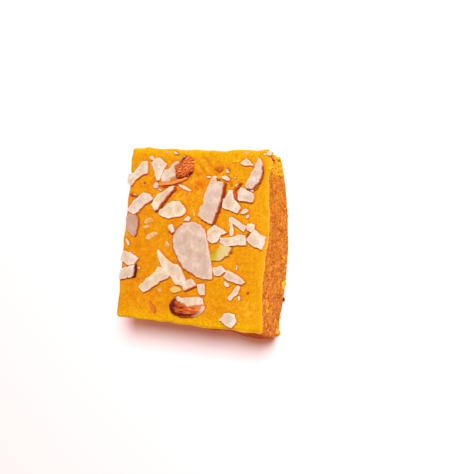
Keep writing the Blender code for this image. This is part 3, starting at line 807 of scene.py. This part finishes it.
def halved_skin(spot, grain, gap):
    """How far the cut face of the half kernel falls away, and the skin below it."""
    across = spot - HALVED_MIDDLE
    fall = HALVED_FALL[0] if across.x < 0 else HALVED_FALL[1]
    border = 0.05 + fall * abs(across.x) + 0.3 * noise.noise(grain / 0.8)
    skin = ease(across.y, border + 0.1, border - 0.1)
    skin = max(skin, ease(abs(across.x), HALVED_END, HALVED_END + 0.4))
    lower_rim = ease(gap, 0.62, 0.4) * ease(across.x, 0.6, 2.8) * ease(across.y, 0.7, 0.2)
    shade = 0.46 + 0.06 * across.x + 0.6 * noise.noise(Vector((spot.x / 2.4, spot.y / 0.55, 2.0)))
    shade -= 0.75 * ease(across.x, -4.2, -6.2)
    shade -= 0.5 * hump(gap, 0.75, 0.25) * ease(across.y, -1.0, -1.8)
    return 0.3 * max(0.0, across.y - border), {"skin": skin * (1 - lower_rim), "shade": shade}


def distance_to_outline(places, loop):
    """Each place's distance to a closed outline, negative inside it, all in millimetres."""
    starts = np.array(loop)
    ends = np.roll(starts, -1, axis=0)
    run = ends - starts
    length = (run ** 2).sum(1)
    nearest = np.full(len(places), 1e9)
    inside = np.zeros(len(places), dtype=bool)
    for start, end, step, square in zip(starts, ends, run, length):
        offset = places - start
        share = np.clip(offset @ step / max(square, 1e-9), 0.0, 1.0)
        gap = offset - share[:, None] * step
        nearest = np.minimum(nearest, np.hypot(gap[:, 0], gap[:, 1]))
        crosses = (start[1] > places[:, 1]) != (end[1] > places[:, 1])
        rise = step[1] if step[1] else 1e-9
        at = start[0] + (places[:, 1] - start[1]) / rise * step[0]
        inside ^= crosses & (places[:, 0] < at)
    return np.where(inside, -nearest, nearest)


def beds(places):
    """The distance from each place on the face to the nearest nut."""
    nearest = np.full(len(places), 99.0)
    for seed, nut in enumerate(every_nut()):
        loop = np.array([tuple(point) for point in ragged_outline(nut, seed)])
        low, high = loop.min(0) - BED_SEARCH, loop.max(0) + BED_SEARCH
        near = ((places > low) & (places < high)).all(1)
        nearest[near] = np.minimum(nearest[near], distance_to_outline(places[near], loop))
    return nearest


def face_pits(rng):
    """Small dents scattered over the nut face: middle, radius and depth."""
    pits = []
    for _ in range(PIT_COUNT):
        middle = Vector([rng.uniform(-reach, reach) for reach in PIT_AREA])
        radius = rng.uniform(*PIT_RADIUS)
        pits.append((middle, radius, PIT_DEPTH * rng.uniform(*PIT_SHARE)))
    return pits


def pale_margin(spots):
    """How far each place lies from the +Y and -Y sides, along which the face turns yellower."""
    far = FAR_EDGE - spots[:, 1]
    near = spots[:, 1] - NEAR_EDGE
    return np.maximum(np.minimum(far, near), 0.0)


def make_paste(material):
    """The paste's body with grainy cut sides, a calmer face, dents, and beds round the nuts."""
    block = subdivided_block()
    count = len(block.verts)
    spots = np.zeros((count, 3))
    looks = {name: np.zeros(count) for name in (
        "flank", "lump", "broken", "under", "edge_highlight", "fold_highlight", "relief")}
    for i, vert in enumerate(block.verts):
        placed, outward, cut_side, near_corner = place_paste(vert.co.copy())
        calm = ease(placed.z, 0.0, BASE_CALM)
        grains = 0.55 - noise.voronoi(placed / GRAIN_SIZE, distance_metric="DISTANCE")[0][0]
        crumbly = 0.5 - noise.voronoi(placed / CRUMBLY_SIZE)[0][0]
        specks = noise.noise(placed / SPECK_SIZE)
        clumps = noise.noise(placed / CLUMP_SIZE)
        below = ease(THICKNESS - placed.z, *CALM_EDGE)
        grainy = (grains * GRAIN_DEPTH + specks * SPECK_DEPTH) * cut_side
        lump = grainy * (CALM_GRAIN + (1 - CALM_GRAIN) * below)
        lump += clumps * CLUMP_DEPTH * cut_side * below * max(CALM_CLUMP, outward.x)
        lump += crumbly * CRUMBLY_DEPTH * near_corner
        ripple = FACE_RIPPLE * noise.noise(placed / FACE_RIPPLE_SIZE) * (1 - cut_side)
        creased = crumple(placed) * (1 - cut_side)
        placed += outward * (lump + ripple + creased) * calm
        placed.z = max(0.0, placed.z)
        spots[i] = placed
        frayed = CRUMBLY_WANDER * noise.noise(placed / FRAY_SIZE)
        crumbly_side = (ease(placed.y + frayed, *CRUMBLY_FROM_Y)
                        * ease(placed.x + frayed, *CRUMBLY_FROM_X))
        # Painted shade: the -Y side darkens below its top, where little light reaches it
        under = max(0.0, -outward.y) * ease(THICKNESS - placed.z, *SHADED_FROM_TOP)
        edge_gap = placed.x - right_side(placed.y, 0.0)
        looks["flank"][i] = cut_side
        # The grains' height, which the cut sides' colour follows: partly their own grain, partly
        # painted highlight and shade
        looks["lump"][i] = (grains + clumps * 0.5) * cut_side + specks * 0.5
        # The folds' height, which the face's colour follows: painted highlight on crests, painted
        # shade in troughs
        looks["relief"][i] = creased / CRUMPLE
        looks["broken"][i] = max(near_corner, crumbly_side)
        looks["under"][i] = under
        # Painted highlight: a yellower stripe along the +X top edge, where the rounded edge catches
        # the light
        looks["edge_highlight"][i] = hump(edge_gap, EDGE_HIGHLIGHT_IN, EDGE_HIGHLIGHT_REACH) * (1 - under)
        # Painted light: a paler patch over that fold
        looks["fold_highlight"][i] = (hump(placed.x, FOLD_HIGHLIGHT[0], FOLD_HIGHLIGHT_REACH)
                                 * hump(placed.y, FOLD_HIGHLIGHT[1], FOLD_HIGHLIGHT_REACH))

    cut_sides = looks["flank"]
    on_face = (cut_sides < 0.9) & (spots[:, 2] > THICKNESS - FACE_DEPTH)
    gap = np.full(count, 99.0)
    gap[on_face] = beds(spots[on_face][:, :2])
    bed = np.exp(-(np.maximum(gap, 0) / BED_REACH) ** 2) * BED_DEPTH
    brim = BRIM_HEIGHT * np.exp(-((gap - BRIM_FROM_NUT) / BRIM_REACH) ** 2)
    spots[:, 2] += np.where(on_face, (brim - bed) * (1 - cut_sides), 0.0)
    rng = random.Random(SEED)
    for middle, radius, deep in face_pits(rng):
        apart = np.hypot(spots[:, 0] - middle.x, spots[:, 1] - middle.y)
        spots[:, 2] -= np.where(on_face, deep * np.exp(-(apart / radius) ** 2), 0.0)
    # Painted shade: a darker band on the face round each nut, where the nut shades the paste
    looks["painted_contact_shade"] = np.exp(-np.maximum(gap, 0) / CONTACT_SHADE_REACH) * on_face
    inland = np.clip((pale_margin(spots) - MARGIN[1]) / (MARGIN[0] - MARGIN[1]), 0.0, 1.0)
    looks["margin"] = (1.0 - inland) ** 2
    # Painted shade in the hollow of the dent
    from_hollow = (spots[:, :2] - HOLLOW) / HOLLOW_REACH
    looks["hollow"] = np.exp(-(from_hollow ** 2).sum(1)) * on_face
    for name, store in looks.items():
        layer = block.verts.layers.float.new(name)
        for vert, value in zip(block.verts, store):
            vert[layer] = value
    for vert, spot in zip(block.verts, spots):
        vert.co = Vector(spot) * MM
    level = [face for face in block.faces if all(vert.co.z < LEVEL for vert in face.verts)]
    bmesh.ops.dissolve_faces(block, faces=level, use_verts=False)
    mesh = bpy.data.meshes.new("paste")
    block.to_mesh(mesh)
    block.free()
    mesh.materials.append(material)
    mesh.shade_smooth()
    paste = bpy.data.objects.new("paste", mesh)
    bpy.context.scene.collection.objects.link(paste)
    return paste


def make_material(name):
    """A new node material and its tree, with the shader ready."""
    material = bpy.data.materials.new(name)
    material.use_nodes = True
    tree = material.node_tree
    return material, tree, tree.nodes["Principled BSDF"]


def plug(tree, socket, value):
    """Links a socket, or sets a plain value on it."""
    if isinstance(value, bpy.types.NodeSocket):
        tree.links.new(value, socket)
    else:
        socket.default_value = value


def add_node(tree, kind, output, inputs, **settings):
    """Adds a node with its inputs set or linked, and gives one of its outputs."""
    node = tree.nodes.new("ShaderNode" + kind)
    for name, value in settings.items():
        setattr(node, name, value)
    for key, value in inputs.items():
        plug(tree, node.inputs[key], value)
    return node.outputs[output]


def attribute(tree, name, output="Fac"):
    return add_node(tree, "Attribute", output, {}, attribute_name=name)


def object_place(tree):
    return add_node(tree, "TexCoord", "Object", {})


def stretched(tree, vector, scale):
    return add_node(tree, "Mapping", "Vector", {"Vector": vector, "Scale": scale})


def clouds(tree, vector, scale, detail=3.0, rough=0.55):
    return add_node(tree, "TexNoise", "Fac", {
        "Vector": vector, "Scale": scale, "Detail": detail, "Roughness": rough})


def remap(tree, value, low, high, to_low=0.0, to_high=1.0):
    return add_node(tree, "MapRange", "Result", {
        "Value": value, "From Min": low, "From Max": high, "To Min": to_low, "To Max": to_high},
        interpolation_type="SMOOTHSTEP")


def maths(tree, operation, first, second):
    return add_node(tree, "Math", "Value", {0: first, 1: second}, operation=operation)


def times(tree, first, second):
    return maths(tree, "MULTIPLY", first, second)


def axes(tree, vector):
    """The three parts of a vector."""
    node = tree.nodes.new("ShaderNodeSeparateXYZ")
    plug(tree, node.inputs[0], vector)
    return node.outputs


def mix(tree, share, first, second):
    return add_node(tree, "Mix", 2, {0: share, 6: first, 7: second}, data_type="RGBA")


def tinted(tree, base, *layers):
    """Mixes colours over a base, one after the other: each layer is a share and a colour."""
    for share, tint in layers:
        base = mix(tree, share, base, colour(*tint))
    return base


def two_tone(tree, value, low, high, first, second):
    """Goes from one colour to another while a value goes from low to high."""
    return mix(tree, remap(tree, value, low, high), colour(*first), colour(*second))


def bump(tree, height, strength, distance, normal=None):
    inputs = {"Height": height, "Strength": strength, "Distance": distance}
    if normal:
        inputs["Normal"] = normal
    return add_node(tree, "Bump", "Normal", inputs)


def colour(red, green, blue):
    """An sRGB colour of 0 to 255, as the shader's linear one."""
    def linear(value):
        value /= 255
        return value / 12.92 if value <= 0.04045 else ((value + 0.055) / 1.055) ** 2.4
    return (linear(red), linear(green), linear(blue), 1.0)


def finish_shader(tree, shader, base, rough, normal):
    plug(tree, shader.inputs["Base Color"], base)
    plug(tree, shader.inputs["Roughness"], rough)
    plug(tree, shader.inputs["Normal"], normal)


def soften(shader, weight, radius, scale, specular):
    """How far light goes under the surface, and how little of it the surface mirrors."""
    shader.inputs["Subsurface Weight"].default_value = weight
    shader.inputs["Subsurface Radius"].default_value = radius
    shader.inputs["Subsurface Scale"].default_value = scale
    shader.inputs["Specular IOR Level"].default_value = specular


def paste_material():
    """Orange paste: satin and mottled on its face, with paler and darker grains on its cut sides.

    The face turns yellower towards +X and near the +Y and -Y sides. It carries painted shade in the
    hollow, round the nuts and in the folds' troughs, and painted highlight on the folds' crests, along
    the +X edge and on the rounded edges. The cut sides are paler on raised grains and darker in pits,
    partly painted highlight and shade, and the -Y side darkens below its top with painted shade. The
    broken corner is the brightest.
    """
    material, tree, shader = make_material("paste")
    place = object_place(tree)
    broad = remap(tree, clouds(tree, place, 105, 3.0, 0.5), 0.38, 0.62)
    patchy = remap(tree, clouds(tree, place, 380, 4.0, 0.62), 0.42, 0.6)
    fine = remap(tree, clouds(tree, place, 1500, 3.0, 0.6), 0.4, 0.62)
    dabs = remap(tree, clouds(tree, place, 750, 3.0, 0.7), 0.56, 0.68)
    motes = remap(tree, clouds(tree, place, 2700, 2.0, 0.5), 0.5, 0.66)
    grains = clouds(tree, stretched(tree, place, (1.0, 1.0, 0.7)), 1750, 3.0, 0.65)
    values = {name: attribute(tree, name) for name in (
        "lump", "flank", "painted_contact_shade", "broken", "relief", "margin", "hollow", "under", "edge_highlight",
        "fold_highlight")}
    across, along = axes(tree, place)[:2]
    flank, broken, under = values["flank"], values["broken"], values["under"]

    face = mix(tree, broad, colour(212, 146, 12), colour(204, 128, 10))
    face = tinted(
        tree, face,
        (remap(tree, across, -0.004, 0.02, 0.0, 0.4), (222, 170, 10)),
        (times(tree, patchy, 0.5), (224, 162, 8)),
        (times(tree, values["margin"], 0.85), (224, 182, 2)),
        (times(tree, fine, 0.5), (188, 104, 2)),
        (times(tree, motes, 0.35), (174, 92, 4)),
        (times(tree, dabs, 0.5), (232, 172, 34)),
        # painted shade round the nuts
        (times(tree, remap(tree, values["painted_contact_shade"], 0.2, 1.0), 0.75), (178, 70, 2)),
        # painted highlight on the folds' crests and painted shade in their troughs
        (remap(tree, values["relief"], 0.1, 0.5, 0.0, 0.6), (236, 178, 44)),
        (remap(tree, values["relief"], 0.0, -0.4, 0.0, 0.6), (200, 104, 2)),
        # painted shade in the hollow
        (times(tree, values["hollow"], 0.85), (196, 96, 2)),
        # painted highlight along the +X edge
        (times(tree, values["edge_highlight"], 0.6), (214, 156, 8)),
        # painted light on the fold
        (times(tree, values["fold_highlight"], 0.35), (232, 168, 20)))

    side = mix(tree, patchy, colour(204, 114, 12), colour(214, 132, 26))
    side = tinted(
        tree, side,
        # paler on raised grains and darker in pits: partly the paste's grain, partly painted highlight
        # and painted shade
        (remap(tree, values["lump"], 0.0, 0.3, 0.0, 0.5), (226, 144, 66)),
        (remap(tree, values["lump"], -0.05, -0.4, 0.0, 0.7), (184, 84, 6)),
        # painted shade on the -Y side below its top
        (times(tree, under, 0.85), (170, 66, 2)),
        (remap(tree, grains, 0.48, 0.36, 0.0, 0.7), (160, 68, 8)))
    # The painted shade on the -Y side also dims the pale grains there
    shaded = maths(tree, "SUBTRACT", 1.0, times(tree, under, 0.75))
    bright = times(tree, remap(tree, grains, 0.54, 0.66, 0.0, 0.8), shaded)
    grain_tint = two_tone(tree, along, -0.015, 0.015, (238, 172, 104), (234, 154, 52))
    side = mix(tree, bright, side, grain_tint)
    side = tinted(tree, side,
                  (times(tree, broken, 0.9), (244, 186, 8)),
                  (times(tree, times(tree, broken, fine), 0.3), (196, 106, 4)))

    base = mix(tree, flank, face, side)
    # Paler along the rounded edges between face and sides: partly wear, partly a painted highlight
    worn_and_lit_edge = times(tree, flank, maths(tree, "SUBTRACT", 1.0, flank))
    base = tinted(tree, base, (remap(tree, worn_and_lit_edge, 0.03, 0.25, 0.0, 0.7), (238, 180, 60)))
    rough = maths(tree, "ADD", remap(tree, fine, 0.0, 1.0, 0.5, 0.68), times(tree, flank, 0.15))
    normal = bump(tree, clouds(tree, place, 1500, 4.0, 0.6), 0.55, 0.0002)
    normal = bump(tree, times(tree, grains, flank), 0.8, 0.0004, normal)
    finish_shader(tree, shader, base, rough, normal)
    soften(shader, 0.2, (1.0, 0.35, 0.05), 0.0009, 0.06)
    return material


def nut_material():
    """Almond: pinkish cream flesh with faint fibres and paler edges, partly a painted highlight, under
    a brown, streaked skin.
    """
    material, tree, shader = make_material("almond")
    grain = attribute(tree, "grain", "Vector")
    skin, rim, tone, shade, foot = [attribute(tree, name) for name in LOOK_NAMES]

    fibres = clouds(tree, stretched(tree, grain, (0.5, 2.2, 1.0)), 1.2, 4.0, 0.6)
    blotches = clouds(tree, grain, 0.32, 2.0, 0.45)
    flecks = clouds(tree, grain, 1.9, 2.0, 0.6)
    specks = clouds(tree, grain, 3.6, 2.0, 0.6)
    flesh = tinted(
        tree, two_tone(tree, tone, 0.0, 1.0, (202, 186, 168), (209, 192, 151)),
        (remap(tree, blotches, 0.5, 0.64, 0.0, 0.6), (188, 160, 140)),
        (remap(tree, blotches, 0.48, 0.36, 0.0, 0.7), (228, 214, 198)),
        (remap(tree, flecks, 0.5, 0.66, 0.0, 0.25), (230, 216, 198)),
        (remap(tree, flecks, 0.46, 0.34, 0.0, 0.25), (194, 158, 130)),
        (remap(tree, specks, 0.54, 0.7, 0.0, 0.3), (196, 164, 128)),
        (remap(tree, fibres, 0.5, 0.7, 0.0, 0.5), (190, 152, 124)),
        # paler edges: partly worn, partly a painted highlight
        (times(tree, rim, 0.5), (236, 224, 208)),
        (remap(tree, tone, 0.0, -1.0), (168, 122, 98)),
        (remap(tree, tone, 1.0, 1.5), (208, 180, 92)),
        # the wall's foot: clinging paste and painted orange bounce light
        (times(tree, foot, 0.9), (244, 160, 48)))
    streaks = clouds(tree, stretched(tree, grain, (0.35, 3.0, 1.0)), 1.4, 4.0, 0.65)
    brown = tinted(
        tree, two_tone(tree, streaks, 0.35, 0.65, (164, 64, 12), (202, 96, 26)),
        (remap(tree, shade, 0.5, 0.95), (228, 142, 72)),
        (remap(tree, shade, 0.4, 0.0), (92, 26, 22)))
    normal = bump(tree, mix(tree, skin, fibres, streaks), 0.4, 0.0002)
    finish_shader(tree, shader, mix(tree, skin, flesh, brown),
                  remap(tree, fibres, 0.3, 0.7, 0.5, 0.68), normal)
    soften(shader, 0.3, (1.0, 0.6, 0.35), 0.0008, 0.18)
    return material


def pistachio_material():
    """Pistachio: yellow-green at one end, creamy green at the other."""
    material, tree, shader = make_material("pistachio")
    place = object_place(tree)
    x, y = axes(tree, place)[:2]
    blotches = clouds(tree, place, 800, 3.0, 0.6)
    across = maths(tree, "ADD", x, times(tree, y, -0.3))
    shift = maths(tree, "ADD", across, times(tree, blotches, 0.002))
    green = two_tone(tree, blotches, 0.35, 0.65, (194, 166, 16), (166, 156, 10))
    flesh = tinted(tree, green, (remap(tree, shift, *PISTACHIO_TURN), (206, 186, 124)))
    finish_shader(tree, shader, flesh, remap(tree, blotches, 0.3, 0.7, 0.5, 0.65),
                  bump(tree, blotches, 0.3, 0.0003))
    soften(shader, 0.12, (0.8, 1.0, 0.2), 0.0005, 0.18)
    return material


def sunk_material():
    """Almond under a thin film of paste: a cloudy tan."""
    material, tree, shader = make_material("filmed_almond")
    grain = attribute(tree, "grain", "Vector")
    cloudy = clouds(tree, grain, 0.8, 3.0, 0.6)
    tint = two_tone(tree, cloudy, 0.35, 0.65, (206, 134, 58), (222, 182, 136))
    finish_shader(tree, shader, tint, remap(tree, cloudy, 0.3, 0.7, 0.5, 0.62),
                  bump(tree, cloudy, 0.2, 0.0002))
    soften(shader, 0.2, (1.0, 0.4, 0.1), 0.0006, 0.15)
    return material


def crumb_material():
    """Loose paste: a brighter yellow orange, with darker pores."""
    material, tree, shader = make_material("paste_crumb")
    place = object_place(tree)
    pores = clouds(tree, place, 900, 4.0, 0.65)
    tint = two_tone(tree, pores, 0.4, 0.6, (222, 148, 8), (240, 188, 34))
    finish_shader(tree, shader, tint, remap(tree, pores, 0.3, 0.7, 0.55, 0.75),
                  bump(tree, pores, 0.5, 0.0003))
    soften(shader, 0.2, (1.0, 0.35, 0.05), 0.0007, 0.12)
    return material


def add_crumb(shape, middle, size, seed, **looks):
    """One lumpy crumb about its middle."""
    ball = bmesh.new()
    bmesh.ops.create_icosphere(ball, subdivisions=3, radius=1.0)
    start = len(shape.verts)
    for vert in ball.verts:
        push = 1 + CRUMB_LUMP[0] * noise.noise(vert.co * CRUMB_LUMP[1] + Vector((seed * 3.1, 0, 0)))
        push += CRUMB_GRAIN[0] * noise.noise(vert.co * CRUMB_GRAIN[1] + Vector((0, seed * 2.3, 0)))
        spot = Vector([vert.co[i] * size[i] * push / 2 for i in range(3)]) + middle
        shape.add_vert(spot, spot, **looks)
    shape.faces += [tuple(start + vert.index for vert in face.verts) for face in ball.faces]
    ball.free()


def side_place(y, depth):
    """A point on the +X side, with the corner's loss taken off it."""
    place = Vector((right_side(y, depth), y, THICKNESS * (1 - depth)))
    return place + BROKEN_INWARD * corner_loss(place)


def make_crumbs(material):
    """Crumbs that cling to the +X side, the most of them at its broken corner."""
    shape = Shape()
    rng = random.Random(SEED + 1)
    spots = list(LARGE_CRUMBS)
    for _ in range(CORNER_CRUMBS):
        size = [rng.uniform(*CORNER_CRUMB_SIZE) for _ in range(3)]
        spots.append((rng.uniform(*CORNER_CRUMB_Y), rng.uniform(*CORNER_CRUMB_DEPTH), size))
    for _ in range(SIDE_CRUMBS):
        size = [rng.uniform(*SIDE_CRUMB_SIZE) for _ in range(3)]
        spots.append((rng.uniform(*SIDE_CRUMB_Y), 1 - abs(rng.gauss(0.0, SIDE_CRUMB_SPREAD)), size))
    for seed, (y, depth, size) in enumerate(spots):
        place = side_place(y, min(1.0, max(0.0, depth)))
        place.x -= CRUMB_SINK * size[0]
        if y > CORNER_CRUMB_Y[0]:
            place.x += CORNER_CRUMB_OUT * ease(depth, *CORNER_CRUMB_HANG)
        place.z = max(place.z, CRUMB_STAND * size[2])
        add_crumb(shape, place, size, seed)
    return shape.make("crumbs", material)


def finish_piece(piece, slot, *nodes):
    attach(piece, BODY)
    if nodes:
        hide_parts(*nodes)


def make_nuts():
    """Every nut: one piece for each large node, and one for each kind of small bit."""
    almond = nut_material()
    for seed, (node, nut) in enumerate(PIECES.items()):
        shape = Shape()
        add_nut(shape, nut, seed)
        slot = "almond" if nut.kind == "slice" else "almond_skin"
        finish_piece(shape.make("nut_" + node.removeprefix("almond_"), almond), slot, node)

    def gather(name, nuts, material, slot, seed):
        shape = Shape()
        for i, nut in enumerate(nuts):
            add_nut(shape, nut, seed + i)
        if name == "skin_bits":
            # A dark speck, and dark lumps that are the painted shadow of the corner's crack
            for i, (place, size) in enumerate(DARK_SPECK_AND_CRACK_SHADE):
                add_crumb(shape, Vector(place), size, SPECK_SEED + i, skin=1.0, shade=-1.0)
        finish_piece(shape.make(name, material), slot)

    skins = [nut._replace(skin=WHOLLY_SKIN) for nut in SKINS]
    gather("almond_chips", CHIPS, almond, "almond", len(PIECES))
    gather("skin_bits", skins, almond, "almond_skin", len(PIECES) + len(CHIPS))
    gather("pistachio_chip", [PISTACHIO], pistachio_material(), "almond", len(every_nut()) - 1)
    gather("filmed_bits", SUNK, sunk_material(), "almond", FILM_SEED)
    gather("paste_lumps", LUMPS, crumb_material(), "paste", LUMP_SEED)


def make_studio():
    """A white floor, a broad soft key light towards +X and +Y, a weak warm one and a warm sky."""
    bpy.ops.mesh.primitive_plane_add(size=FLOOR_SIZE, location=(0, 0, 0))
    floor = bpy.context.object
    floor.name = "floor"
    material, tree, shader = make_material("floor")
    cloudy = clouds(tree, object_place(tree), 12, 2.0)
    plug(tree, shader.inputs["Base Color"],
         mix(tree, cloudy, (0.91, 0.835, 0.83, 1.0), (0.93, 0.855, 0.85, 1.0)))
    shader.inputs["Roughness"].default_value = 0.7
    shader.inputs["Specular IOR Level"].default_value = 0.2
    floor.data.materials.append(material)

    for name, (place, size, power, tint) in LIGHTS.items():
        light = bpy.data.lights.new(name, "AREA")
        light.shape = "DISK"
        light.size = size
        light.energy = power
        light.color = tint
        lamp = bpy.data.objects.new(name, light)
        lamp.location = place
        lamp.rotation_euler = Vector(place).to_track_quat("Z", "Y").to_euler()
        bpy.context.scene.collection.objects.link(lamp)

    world = bpy.context.scene.world or bpy.data.worlds.new("sky")
    bpy.context.scene.world = world
    world.use_nodes = True
    sky = world.node_tree.nodes["Background"]
    sky.inputs["Color"].default_value = SKY_COLOUR
    sky.inputs["Strength"].default_value = SKY_STRENGTH


def make_camera():
    camera = bpy.data.objects.new("camera", bpy.data.cameras.new("camera"))
    camera.data.lens = CAMERA_LENS
    camera.data.sensor_width = SENSOR_WIDTH
    camera.location = CAMERA_PLACE * MM
    aim = (CAMERA_AIM - CAMERA_PLACE).to_track_quat("-Z", "Y")
    camera.rotation_mode = "QUATERNION"
    camera.rotation_quaternion = aim @ Quaternion((0, 0, 1), CAMERA_ROLL)
    camera.data.clip_start = NEAREST_SEEN
    bpy.context.scene.collection.objects.link(camera)
    bpy.context.scene.camera = camera
    bpy.context.scene.view_settings.view_transform = "Standard"


noise.seed_set(SEED)
make_camera()
make_studio()
finish_piece(make_paste(paste_material()), "paste", "barfi")
make_nuts()
finish_piece(make_crumbs(crumb_material()), "paste")
